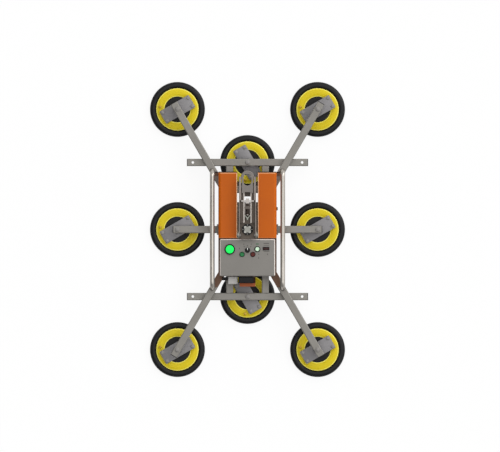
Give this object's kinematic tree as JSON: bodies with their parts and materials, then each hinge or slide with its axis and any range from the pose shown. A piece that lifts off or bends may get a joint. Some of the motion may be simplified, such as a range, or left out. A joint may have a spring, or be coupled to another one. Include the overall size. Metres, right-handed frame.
{
  "type": "vacuum lifter",
  "caption": "Battery vacuum lifter: suction cups on a square-tube frame with push handles, control box, and a slewing and tilting lifting arm.",
  "frame": {"origin": "on the plane of the cups' sealing lips, under the axis that the lifting arm slews about", "axes": "+Z away from the load, +Y along the frame towards the lifting eye, +X across the frame to the display's side"},
  "size_m": [1.0722, 1.6222, 0.31],
  "materials": {
    "cup_rubber": "matt moulded",
    "yellow_coat": "satin coat",
    "grey_steel": "satin ground",
    "zinc_steel": "bright zinc",
    "bright_steel": "polished tube",
    "black_plastic": "matt moulded",
    "orange_coat": "fine powder coat",
    "grey_coat": "fine powder coat",
    "dark_coat": "satin black",
    "cast_aluminium": "machined",
    "green_lens": "lit clear lens",
    "white_plastic": "gloss",
    "green_plastic": "gloss",
    "red_plastic": "gloss",
    "battery_case": "matt"
  },
  "bodies": {
    "root": {"battery_pack": "battery_case", "battery_tray": "orange_coat", "charging_socket": "black_plastic", "chassis_plate": "orange_coat", "control_box": "grey_coat", "control_panel": "grey_coat", "corner_arm_lower_left": "grey_steel", "corner_arm_lower_right": "grey_steel", "corner_arm_upper_left": "grey_steel", "corner_arm_upper_right": "grey_steel", "crossbars": "grey_steel", "cup_swivel_bolts": "zinc_steel", "frame_ladder": "grey_steel", "left_cover": "orange_coat", "left_handle": "bright_steel", "middle_arms": "grey_steel", "panel_bezels": "black_plastic", "right_cover": "orange_coat", "right_handle": "bright_steel", "signal_lamp": "green_lens", "slewing_pedestal": "dark_coat", "tube_end_caps": "black_plastic", "vacuum_pump": "cast_aluminium", "vacuum_reservoir": "dark_coat", "valve_block": "cast_aluminium"},
    "yoke": {"yoke": "grey_steel", "hub_flange": "dark_coat", "arm_pivot_bolts": "zinc_steel"},
    "lifting_arm": {"lifting_arm": "grey_steel", "lifting_eye": "grey_steel", "lock_spring": "zinc_steel"},
    "tilt_lock": {"tilt_lock": "bright_steel"},
    "mode_selector": {"mode_selector": "black_plastic"},
    "white_button": {"white_button": "white_plastic"},
    "green_button": {"green_button": "green_plastic"},
    "red_button": {"red_button": "red_plastic"},
    "cup_upper_left": {"cup_seal_upper_left": "cup_rubber", "cup_ring_upper_left": "yellow_coat", "cup_mount_upper_left": "grey_steel"},
    "cup_middle_left": {"cup_seal_middle_left": "cup_rubber", "cup_ring_middle_left": "yellow_coat", "cup_mount_middle_left": "grey_steel"},
    "cup_lower_left": {"cup_seal_lower_left": "cup_rubber", "cup_ring_lower_left": "yellow_coat", "cup_mount_lower_left": "grey_steel"},
    "cup_upper_right": {"cup_seal_upper_right": "cup_rubber", "cup_ring_upper_right": "yellow_coat", "cup_mount_upper_right": "grey_steel"},
    "cup_middle_right": {"cup_seal_middle_right": "cup_rubber", "cup_ring_middle_right": "yellow_coat", "cup_mount_middle_right": "grey_steel"},
    "cup_lower_right": {"cup_seal_lower_right": "cup_rubber", "cup_ring_lower_right": "yellow_coat", "cup_mount_lower_right": "grey_steel"},
    "cup_upper_centre": {"cup_seal_upper_centre": "cup_rubber", "cup_ring_upper_centre": "yellow_coat", "cup_mount_upper_centre": "grey_steel"},
    "cup_lower_centre": {"cup_seal_lower_centre": "cup_rubber", "cup_ring_lower_centre": "yellow_coat", "cup_mount_lower_centre": "grey_steel"}
  },
  "joints": [
    {"name": "slew", "type": "hinge", "parent": "root", "child": "yoke", "pos_m": [0, 0, 0.26], "axis": [0, 0, 1], "continuous": true},
    {"name": "arm_tilt", "type": "hinge", "parent": "yoke", "child": "lifting_arm", "pos_m": [0, -0.03, 0.29], "axis": [1, 0, 0], "range_deg": [0, 90]},
    {"name": "tilt_release", "type": "slide", "parent": "lifting_arm", "child": "tilt_lock", "axis": [0, 1, 0], "range_m": [0, 0.01], "stiffness_N_per_m": 900, "springref_m": -0.006, "deforming": ["lock_spring"]},
    {"name": "mode_turn", "type": "hinge", "parent": "root", "child": "mode_selector", "pos_m": [0, -0.113, 0.243], "axis": [0, 0, 1], "range_deg": [-45, 45]},
    {"name": "white_press", "type": "slide", "parent": "root", "child": "white_button", "axis": [0, 0, -1], "range_m": [0, 0.003], "stiffness_N_per_m": 600, "springref_m": -0.002},
    {"name": "green_press", "type": "slide", "parent": "root", "child": "green_button", "axis": [0, 0, -1], "range_m": [0, 0.003], "stiffness_N_per_m": 600, "springref_m": -0.002},
    {"name": "red_press", "type": "slide", "parent": "root", "child": "red_button", "axis": [0, 0, -1], "range_m": [0, 0.003], "stiffness_N_per_m": 600, "springref_m": -0.002},
    {"name": "swivel_upper_left", "type": "hinge", "parent": "root", "child": "cup_upper_left", "pos_m": [-0.385, 0.66, 0.07], "axis": [0, 0, 1], "range_deg": [-30, 30]},
    {"name": "swivel_middle_left", "type": "hinge", "parent": "root", "child": "cup_middle_left", "pos_m": [-0.385, 0, 0.07], "axis": [0, 0, 1], "range_deg": [-30, 30]},
    {"name": "swivel_lower_left", "type": "hinge", "parent": "root", "child": "cup_lower_left", "pos_m": [-0.385, -0.66, 0.07], "axis": [0, 0, 1], "range_deg": [-30, 30]},
    {"name": "swivel_upper_right", "type": "hinge", "parent": "root", "child": "cup_upper_right", "pos_m": [0.385, 0.66, 0.07], "axis": [0, 0, 1], "range_deg": [-30, 30]},
    {"name": "swivel_middle_right", "type": "hinge", "parent": "root", "child": "cup_middle_right", "pos_m": [0.385, 0, 0.07], "axis": [0, 0, 1], "range_deg": [-30, 30]},
    {"name": "swivel_lower_right", "type": "hinge", "parent": "root", "child": "cup_lower_right", "pos_m": [0.385, -0.66, 0.07], "axis": [0, 0, 1], "range_deg": [-30, 30]},
    {"name": "swivel_upper_centre", "type": "hinge", "parent": "root", "child": "cup_upper_centre", "pos_m": [0, 0.368, 0.07], "axis": [0, 0, 1], "range_deg": [-30, 30]},
    {"name": "swivel_lower_centre", "type": "hinge", "parent": "root", "child": "cup_lower_centre", "pos_m": [0, -0.368, 0.07], "axis": [0, 0, 1], "range_deg": [-30, 30]}
  ]
}
